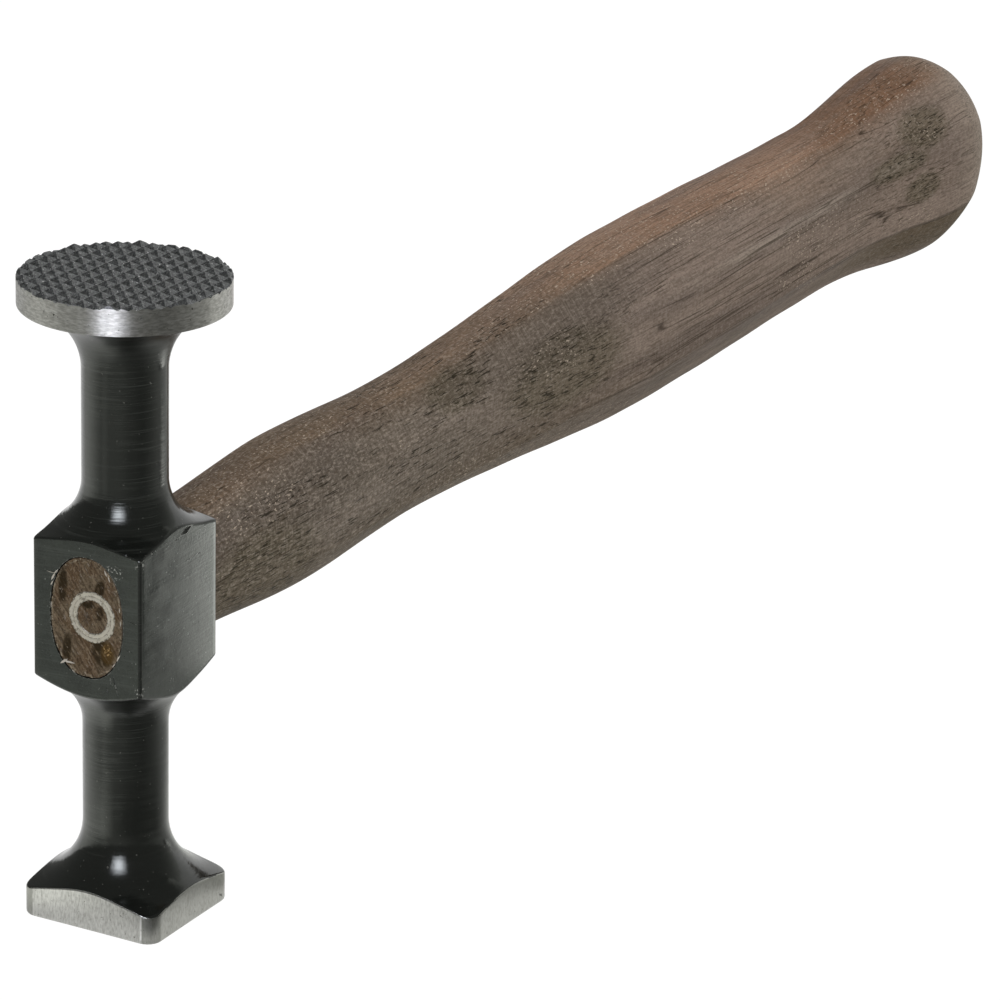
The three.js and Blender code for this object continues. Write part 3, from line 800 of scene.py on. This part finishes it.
# the ridges: a painted highlight, with some rubbed wear, along the upper one of each side, and darker on the
# underside under the lower one
oval_share = 0.798
above_middle = times(math_of("SUBTRACT", on_handle["Z"], eye_height * mm), oval_share)
tilt = math_of("ARCTAN2", above_middle, math_of("ABSOLUTE", on_handle["Y"]))
upper_ridge, lower_ridge = math.radians(23.2), math.radians(-24.5)
on_ridge = between(apart(tilt, upper_ridge), 0.11, 0.0)
ridge_highlight_span = times(along(0.165, 0.215), along(0.292, 0.262))
# painted highlight along the upper ridge, partly rubbed wear
wood.coat((0.50, 0.42, 0.345), times(on_ridge, ridge_highlight_span, patchy), 0.42)
wood.coat((0.160, 0.118, 0.066), times(between(tilt, -0.15, -0.55, 0.0, 0.3), along(0.19, 0.13)))
under_ridge = times(between(tilt, math.radians(-23), math.radians(-26)),
                    between(tilt, math.radians(-68), math.radians(-44)))
wood.coat((0.098, 0.066, 0.031), times(under_ridge, along(0.225, 0.285, 0.0, 0.9)))
coarse = along(0.06, 0.20, 1.0, 0.55)
wood.coat((0.080, 0.060, 0.040), times(between(crumb, 0.36, 0.54, 0.62, 0.0), coarse))
wood.coat((0.360, 0.300, 0.240), times(between(crumb, 0.50, 0.66, 0.0, 0.6), coarse))
off_ridge = apart(tilt, lower_ridge)
wood.coat((0.050, 0.034, 0.022), times(between(off_ridge, 0.035, 0.012), patchy, along(0.1, 0.16)), 0.6)
wood.coat((0.092, 0.070, 0.050), between(fibre, 0.42, 0.66), 0.45)
wood.coat((0.40, 0.34, 0.28), between(sanding, 0.5, 0.7), 0.22)
# grain lines, where the growth rings come out at the surface
rings = wood.noise((3.2, 170, 170), shift=(0.3, 0.1, 0.2), distortion=0.15)
broken = wood.patches(0.42, 0.56, (45, 900, 900), shift=(1, 0, 4))
grain_line = times(between(apart(rings, 0.5), 0.0, 0.010, 1.0, 0.0), broken)
wood.coat((0.028, 0.018, 0.012), times(grain_line, math_of("ADD", times(rear, 0.5), 0.25)))
long_lines = wood.patches(0.600, 0.640, (30, 3300, 3300), shift=(2, 7, 0), detail=1)
line_zone = wood.patches(0.47, 0.58, (11, 130, 130), shift=(0, 3, 8))
wood.coat((0.034, 0.024, 0.012), times(long_lines, line_zone, math_of("ADD", times(rear, 0.32), 0.3)))
# pores cut open in dark dashes, and pale flecks of filler in others
pores = wood.patches(0.605, 0.640, (230, 3300, 3300), detail=1)
pore_zone = wood.patches(0.45, 0.58, (30, 240, 240), shift=(1, 2, 3), detail=3, roughness=0.6)
thinned = along(0.12, 0.18, 1.0, 0.35)
open_pores = times(pores, most(times(pore_zone, thinned), dense))
fine_pores = wood.patches(0.55, 0.61, (420, 2500, 2500), shift=(5, 0, 0))
wood.coat((0.019, 0.015, 0.008), open_pores, 0.85)
wood.coat((0.034, 0.028, 0.013), times(fine_pores, dense), 0.5)
flecks = wood.patches(0.660, 0.700, (1100, 2600, 2600), shift=(4, 1, 1), detail=1)
fleck_bands = wood.noise((24, 100, 100), shift=(2, 0, 1))
fleck_zone = between(math_of("ADD", times(lit_top, 0.16), fleck_bands), 0.52, 0.66)
fleck_zone = most(fleck_zone, wood.spots(((286, -5, 77), (22, 8, 6)), ((28, -8, 67), (20, 7, 7))))
wood.coat((0.56, 0.46, 0.36), times(flecks, fleck_zone), 0.75)
wood.done(Roughness=between(fibre, 0.3, 0.7, 0.50, 0.66), Specular_IOR_Level=0.05)
wood.relief((fibre, 0.03 * mm), (open_pores, -0.05 * mm), (sanding, 0.015 * mm), (board, 0.1 * mm))

# The sawn end grain: darker, with slanting saw lines, dark stains and torn pale fibres
end_grain = Finish("end_grain", (0.122, 0.090, 0.056))
saw_slant = (36, 0, 0)
saw_lines = end_grain.noise((100, 2300, 230), turn=saw_slant, detail=4, roughness=0.65)
end_pores = end_grain.patches(0.60, 0.67, 2600, detail=1)
speckle = end_grain.noise(1700, detail=4, roughness=0.7)
stain = end_grain.spots(((-12, 4.7, 62.0), (3, 1.15, 4.4), 2), ((-12, 3.9, 50.9), (3, 1.1, 3.6), 5),
                        ((-12, -3.2, 51.6), (3, 2.7, 3.6)), ((-12, -2.6, 62.6), (3, 1.2, 2.4), 20),
                        ((-12, -0.2, 59.6), (3, 1.6, 1.0)), ((-12, -2.6, 58.4), (3, 0.9, 1.6)))
ragged = end_grain.patches(0.30, 0.50, (100, 900, 420), turn=saw_slant, detail=4, roughness=0.65)
torn = end_grain.patches(0.60, 0.68, (100, 1900, 700), turn=saw_slant, shift=(0, 3, 0), detail=3,
                         roughness=0.7)
end_grain.coat((0.096, 0.060, 0.032), end_grain.patches(0.42, 0.62, 300, detail=3))
end_grain.coat((0.215, 0.162, 0.108), between(saw_lines, 0.48, 0.68), 0.6)
end_grain.coat((0.036, 0.024, 0.013), between(saw_lines, 0.5, 0.34), 0.65)
end_grain.coat((0.030, 0.020, 0.011), between(speckle, 0.46, 0.32, 0.0, 0.7))
end_grain.coat((0.270, 0.205, 0.140), between(speckle, 0.54, 0.66, 0.0, 0.5))
end_grain.coat((0.019, 0.011, 0.002), times(stain, ragged), 0.96)
end_grain.coat((0.015, 0.010, 0.006), end_pores, 0.5)
end_grain.coat((0.30, 0.25, 0.20), torn, 0.7)
# a bleb of resin, dark round its amber middle
end_grain.coat((0.088, 0.048, 0.009), end_grain.spot((-12, -4.2, 51.5), (3, 1.7, 2.6)), 0.6)
amber = times(end_grain.spot((-12, -4.1, 51.9), (3, 1.0, 1.6)), between(speckle, 0.53, 0.62))
end_grain.coat((0.50, 0.32, 0.14), amber, 0.8)
# fibres torn pale along the wall of the eye
across_eye = split(end_grain.place)
out_side = times(across_eye["Y"], 1 / (eye_half_width * mm))
out_up = times(math_of("SUBTRACT", across_eye["Z"], eye_height * mm), 1 / (eye_half_height * mm))
parts = [math_of("POWER", math_of("ABSOLUTE", out), eye_squareness) for out in (out_side, out_up)]
near_wall = between(math_of("ADD", *parts), 0.82, 0.93)
frayed_wall = times(near_wall, end_grain.patches(0.50, 0.60, 1500, detail=3, roughness=0.65))
end_grain.coat((0.40, 0.34, 0.25), frayed_wall, 0.7)
end_grain.done(Roughness=0.6, Specular_IOR_Level=0.1)
end_grain.relief((saw_lines, 0.14 * mm), (torn, 0.08 * mm), (frayed_wall, 0.1 * mm), (end_pores, -0.06 * mm))

# Torn fibres of the tenon, curled up over the edge of the eye
torn_fibre = Finish("torn_pale_fibre", (0.30, 0.26, 0.21))
torn_fibre.coat((0.62, 0.58, 0.52), torn_fibre.noise((900, 2600, 900), detail=3))
torn_fibre.done(Roughness=0.6, Specular_IOR_Level=0.3)
# each splinter: its two ends across and up from the eye's centre, its width, how far it curls out
splinters = (
    ((6.2, 6.9), (6.8, 5.6), 0.34, 0.2), ((5.6, 7.6), (6.3, 6.8), 0.2, 0.15),
    ((6.6, 5.4), (7.0, 4.6), 0.24, 0.12), ((-3.6, 9.3), (-4.2, 8.4), 0.3, 0.2),
    ((-4.3, 8.4), (-4.8, 7.4), 0.22, 0.15), ((2.4, -8.6), (4.4, -8.4), 0.34, 0.3),
    ((3.8, -8.1), (5.0, -9.0), 0.42, 0.3), ((-6.6, -5.3), (-6.1, -6.4), 0.26, 0.2),
    ((-5.7, -6.9), (-5.2, -7.7), 0.2, 0.15), ((7.9, 6.9), (5.9, 7.0), 0.10, 0.3),
    ((6.95, 1.6), (7.0, 0.6), 0.14, 0.1), ((-6.75, 0.9), (-6.8, 0.0), 0.14, 0.1),
    ((-6.5, 3.2), (-6.65, 2.4), 0.16, 0.1), ((3.0, -9.8), (2.2, -10.2), 0.16, 0.1),
)
splinter_foot, splinter_thickness = -mouth - 0.02, 0.07
splinter_points, splinter_faces = [], []
for (y_a, z_a), (y_b, z_b), width, curl in splinters:
    a = np.array((splinter_foot, y_a, eye_height + z_a))
    b = np.array((splinter_foot, y_b, eye_height + z_b))
    side = np.cross(b - a, (1, 0, 0)) / np.linalg.norm(b - a) * width / 2
    base = len(splinter_points)
    for share, swell, out in ((0.0, 0.15, 0.0), (0.3, 0.9, 0.35), (0.65, 1.0, 0.8), (1.0, 0.2, 1.0)):
        middle = a + (b - a) * share + (-curl * out, 0, 0)
        splinter_points += [middle + side * swell, middle - side * swell, middle + (splinter_thickness, 0, 0)]
    for i in range(3):
        for j in range(3):
            c, d = base + 3 * i + j, base + 3 * i + (j + 1) % 3
            splinter_faces.append((c, d, d + 3, c + 3))
    splinter_faces += [(base + 2, base + 1, base), (base + 9, base + 10, base + 11)]
torn_fibres = plain_mesh("torn_fibres", np.array(splinter_points) * mm, splinter_faces)
handle.data.materials.clear()
for finish in (wood, end_grain, torn_fibre):
    handle.data.materials.append(finish.material)
sawn_facing, sawn_before = -0.6, -11.3 * mm
for face in handle.data.polygons:
    face.material_index = 1 if face.normal.x < sawn_facing and face.center.x < sawn_before else 0
joined = bmesh.new()
joined.from_mesh(handle.data)
wood_faces = len(joined.faces)
joined.from_mesh(torn_fibres.data)
joined.faces.ensure_lookup_table()
fresh = joined.faces[wood_faces:]
bmesh.ops.recalc_face_normals(joined, faces=fresh)
for face in fresh:
    face.material_index = 2
joined.to_mesh(handle.data)
joined.free()
bpy.data.objects.remove(torn_fibres)
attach(handle, "root")
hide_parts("handle")

# Ring wedge: a hard steel ring, turned with a tapering wall and driven into the end grain a little
# off centre, where it spreads the tenon. The mallet has left its front edge scuffed.
ring_profile = [
    (4.05, ring_length), (3.65, ring_length), (2.88, 0.3), (2.88, 0.10), (2.95, 0.00), (3.08, -0.05),
    (3.62, -0.06), (3.70, -0.02), (3.76, -0.02), (3.84, -0.06), (4.34, -0.06), (4.50, -0.03),
    (4.54, -0.01), (4.50, 0.015), (4.43, 0.02), (4.44, 0.3),
]
ring = turned_ring("steel_ring_wedge", ring_profile, 300, batter=0.085)
smooth_with_creases(ring, degrees=50)

# The ring's steel, scuffed round its front in short arcs
ring_steel = Finish("scuffed_ring_steel", (0.50, 0.47, 0.40))
scuff = ring_steel.noise(2000, detail=4, roughness=0.65)
tarnish = ring_steel.patches(0.50, 0.64, 1100, detail=3)
deep_nicks = ring_steel.patches(0.60, 0.66, 1500)
on_ring = split(ring_steel.place)
in_groove = times(between(on_ring["X"], -0.01205, -0.01203), between(scuff, 0.42, 0.55))
ring_steel.coat((0.25, 0.225, 0.17), tarnish, 0.5)
ring_steel.coat((0.12, 0.10, 0.08), deep_nicks, 0.7)
# dark nicks bitten into its outer and inner edges
ring_radius = 3.72 * mm
middle = (("Y", ring_y), ("Z", ring_z))
squares = [math_of("POWER", math_of("SUBTRACT", on_ring[axis], at * mm), 2.0) for axis, at in middle]
from_wall = apart(math_of("POWER", math_of("ADD", *squares), 0.5), ring_radius)
bites = times(between(from_wall, 0.00052, 0.00066), ring_steel.patches(0.47, 0.54, 1900))
ring_steel.coat((0.07, 0.055, 0.035), bites, 0.85)
ring_steel.coat((0.17, 0.155, 0.13), in_groove, 0.7)
ring_steel.done(Metallic=0.9, Roughness=between(scuff, 0.3, 0.7, 0.34, 0.52))
ring_steel.relief((scuff, 0.01 * mm), (tarnish, -0.01 * mm), (deep_nicks, -0.02 * mm))
ring.data.materials.append(ring_steel.material)
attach(ring, "root")
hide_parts("ring_wedge")

# Studio: a white floor and sweep, a softbox in front on the left and a soft fill from the right. The
# cards are a dim grey room that only gloss can see: a wall, a graded floor, a lit patch of it, a
# ceiling with a paler edge, and the softbox's own glare. Sizes are in metres.
camera_turn = -57.25
head_middle = 0.06
room_height, wall_reach = 1.5, 1.7
ceiling_rim = (1.24, 1.35, 1.5, 1.65)
ceiling_brightness = 0.15


def toward(turn, height, reach):
    """A place at this many degrees to the right of the camera, seen from the head."""
    angle = math.radians(camera_turn + turn)
    return (math.sin(angle) * reach, -math.cos(angle) * reach, height)


def seen_by_eye_or_gloss(tree):
    """1 for rays that show the background: the camera's, and those off gloss or through glass."""
    path = tree.nodes.new("ShaderNodeLightPath").outputs
    total = path["Is Camera Ray"]
    for other in ("Is Glossy Ray", "Is Transmission Ray"):
        both = (0, total), (1, path[other])
        total = add_node(tree, "ShaderNodeMath", *both, operation="ADD", use_clamp=True).outputs[0]
    return total


# white paper, which to the eye and in gloss mostly glows evenly, and else takes the light as paper does
floor = plain_mesh("studio_floor", [(-4, -4, 0), (4, -4, 0), (4, 4, 0), (-4, 4, 0)], [(0, 1, 2, 3)])
paper = bpy.data.materials.new("white_paper")
paper.use_nodes = True
tree = paper.node_tree
sheet = tree.nodes["Principled BSDF"]
for name, value in (("Base Color", (0.62, 0.62, 0.60, 1)), ("Roughness", 1.0), ("Specular IOR Level", 0.0)):
    feed(tree, sheet.inputs[name], value)
glow = add_node(tree, "ShaderNodeEmission", ("Strength", 1.25))
layers = ("Fac", times(seen_by_eye_or_gloss(tree), 0.75)), (1, sheet.outputs[0]), (2, glow.outputs[0])
mix = add_node(tree, "ShaderNodeMixShader", *layers)
feed(tree, tree.nodes["Material Output"].inputs["Surface"], mix.outputs[0])
floor.data.materials.append(paper)

# a white sweep all round, dimmer as a light than it is to the eye
world = bpy.data.worlds.new("studio")
bpy.context.scene.world = world
world.use_nodes = True
tree = world.node_tree
levels = ("Value", seen_by_eye_or_gloss(tree)), ("To Min", 0.55), ("To Max", 1.0)
level = add_node(tree, "ShaderNodeMapRange", *levels)
feed(tree, tree.nodes["Background"].inputs["Color"], (1, 1, 1, 1))
feed(tree, tree.nodes["Background"].inputs["Strength"], level.outputs[0])


def only_in_gloss(card, brightness):
    material = bpy.data.materials.new(card.name)
    material.use_nodes = True
    tree = material.node_tree
    tree.nodes.remove(tree.nodes["Principled BSDF"])
    grey = add_node(tree, "ShaderNodeEmission", ("Color", (0.99, 1.0, 0.96, 1)), ("Strength", brightness))
    feed(tree, tree.nodes["Material Output"].inputs["Surface"], grey.outputs[0])
    card.data.materials.append(material)
    card.visible_camera = card.visible_diffuse = card.visible_shadow = card.visible_transmission = False


def graded_card(name, points, levels, in_row):
    """A card made of rows of points, so many in a row, with its own brightness at each point."""
    starts = [a for a in range(len(points) - in_row) if (a + 1) % in_row]
    card = plain_mesh(name, points, [(a, a + 1, a + in_row + 1, a + in_row) for a in starts])
    card.data.attributes.new("brightness", "FLOAT", "POINT").data.foreach_set("value", levels)
    only_in_gloss(card, 1.0)
    tree = card.data.materials[0].node_tree
    read = add_node(tree, "ShaderNodeAttribute", attribute_name="brightness")
    feed(tree, tree.nodes["Emission"].inputs["Strength"], read.outputs["Fac"])
    return card


def fan_card(name, turns, reaches, height, brightness):
    """A level card in a fan round the head; brightness is a function of the turn and the reach."""
    places = [(turn, reach) for turn in turns for reach in reaches]
    points = [toward(turn, height, reach) for turn, reach in places]
    return graded_card(name, points, [float(brightness(*place)) for place in places], len(reaches))


def floor_level(turn, reach):
    """The floor is lit from the left and behind, and lies in the room's shade on the camera's right."""
    at_foot = ((-130, -75, -60, -45, -30, 0, 24, 50, 80, 97, 110, 130),
               (1.1, 1.45, 1.75, 1.2, 0.5, 0.2, 0.14, 0.15, 0.20, 0.45, 0.65, 0.9))
    farther = (
        (-130, -110, -93, -76, -66, -60, -52, -45, -18, -5, 8, 21, 34, 48, 63, 79, 97, 110, 130, 158),
        (0.95, 1.25, 1.2, 0.82, 0.60, 0.78, 0.74, 0.54, 0.50, 0.42, 0.30, 0.25, 0.19, 0.17, 0.28, 0.42, 0.58,
         0.62, 0.66, 0.85))
    return np.interp(turn, *(at_foot if reach < 0.06 else farther))


def lit_patch_level(turn, reach):
    """The patch that the block's side looks down at, brighter towards its far end."""
    near = (100, 106, 108, 110, 112, 114, 117, 122, 130), (0.35, 0.12, 0.2, 0.6, 1.55, 2.5, 3.1, 2.7, 1.0)
    far = (100, 110, 112, 113.5, 115, 117, 122, 130), (0.1, 0.0, 0.15, 1.5, 3.3, 4.0, 3.0, 0.9)
    return np.interp(turn, *(near if reach < 0.15 else far))


def ceiling_edge_level(turn, reach):
    return np.interp(reach, (ceiling_rim[0], ceiling_rim[-1]), (ceiling_brightness, 1.0))


wall_places = [(turn, height) for turn in range(-172, 123, 7) for height in (-0.02, room_height)]
wall_level = (60, 85, 100, 112, 122), (0.17, 0.20, 0.32, 0.5, 0.75)
wall = graded_card("dim_room_wall", [toward(*place, wall_reach) for place in wall_places],
                   [float(np.interp(turn, *wall_level)) for turn, _ in wall_places], in_row=2)
floor_reaches = (0.02, 0.045, 0.08, wall_reach)
near_floor = fan_card("graded_floor", range(-130, 159, 4), floor_reaches, 0.001, floor_level)
lit_patch = fan_card("lit_patch_of_floor", range(100, 131), (0.11, 0.205), 0.002, lit_patch_level)
ceiling_turns = range(0, 360, 15)
ceiling_reach = [1.75 if -172 < (t + 180) % 360 - 180 < 122 else 1.25 for t in ceiling_turns]
ceiling_points = [toward(t, room_height, reach) for t, reach in zip(ceiling_turns, ceiling_reach)]
ceiling = plain_mesh("dim_room_ceiling", ceiling_points, [tuple(range(len(ceiling_points)))])
only_in_gloss(ceiling, ceiling_brightness)
ceiling_edge = fan_card("ceiling_edge", range(100, 189, 8), ceiling_rim, room_height - 0.001,
                        ceiling_edge_level)

# the softbox, and its glare, which is brightest in the middle
softbox_at = Vector((-0.748, -0.220, 0.51))
softbox_facing = (softbox_at - Vector((0, 0, head_middle))).to_track_quat("Z", "Y").to_euler()
across_box = [(u / 4 - 1, v / 4 - 1) for u in range(9) for v in range(9)]
glare_half_width, glare_half_height = 0.25, 0.28
glare_brightness, glare_falloff = 16.5, 2.1
glare_points = [(glare_half_width * u, glare_half_height * v, 0) for u, v in across_box]
glare_levels = [glare_brightness * math.exp(-glare_falloff * (u * u + v * v)) for u, v in across_box]
window = graded_card("softbox_glare", glare_points, glare_levels, in_row=9)
glare = window.data.materials[0].node_tree.nodes["Emission"]
glare.inputs["Color"].default_value = (0.98, 1.0, 1.13, 1)
window.location = softbox_at * 0.99
window.rotation_euler = softbox_facing


def add_lamp(name, size, energy, place, turned):
    lamp = bpy.data.lights.new(name, "AREA")
    lamp.shape, lamp.size, lamp.energy = "SQUARE", size, energy
    stand = bpy.data.objects.new(name, lamp)
    bpy.context.scene.collection.objects.link(stand)
    stand.location = place
    stand.rotation_euler = turned
    stand.visible_glossy = False
    return lamp


softbox = add_lamp("softbox", size=0.42, energy=2.8, place=softbox_at, turned=softbox_facing)
softbox.color = (0.97, 0.99, 1.0)
fill_at = Vector((0.25, -1.0, 0.22))
fill_facing = (fill_at - Vector((0.2, 0, 0.05))).to_track_quat("Z", "Y").to_euler()
add_lamp("side_fill", size=0.6, energy=2.2, place=fill_at, turned=fill_facing)

# Camera: the photograph's own viewpoint, a long lens from in front on the right and a little above
lens = bpy.data.cameras.new("camera")
camera = bpy.data.objects.new("camera", lens)
bpy.context.scene.collection.objects.link(camera)
bpy.context.scene.camera = camera
camera.location = (-0.74331294, -0.47811495, 0.40320889)
camera.rotation_euler = [math.radians(a) for a in (69.62496, -1.23412, -60.86613)]
lens.sensor_width, lens.lens = 36.0, 202.108
lens.clip_start, lens.clip_end = 0.05, 20.0

bpy.context.scene.view_settings.view_transform = "Standard"
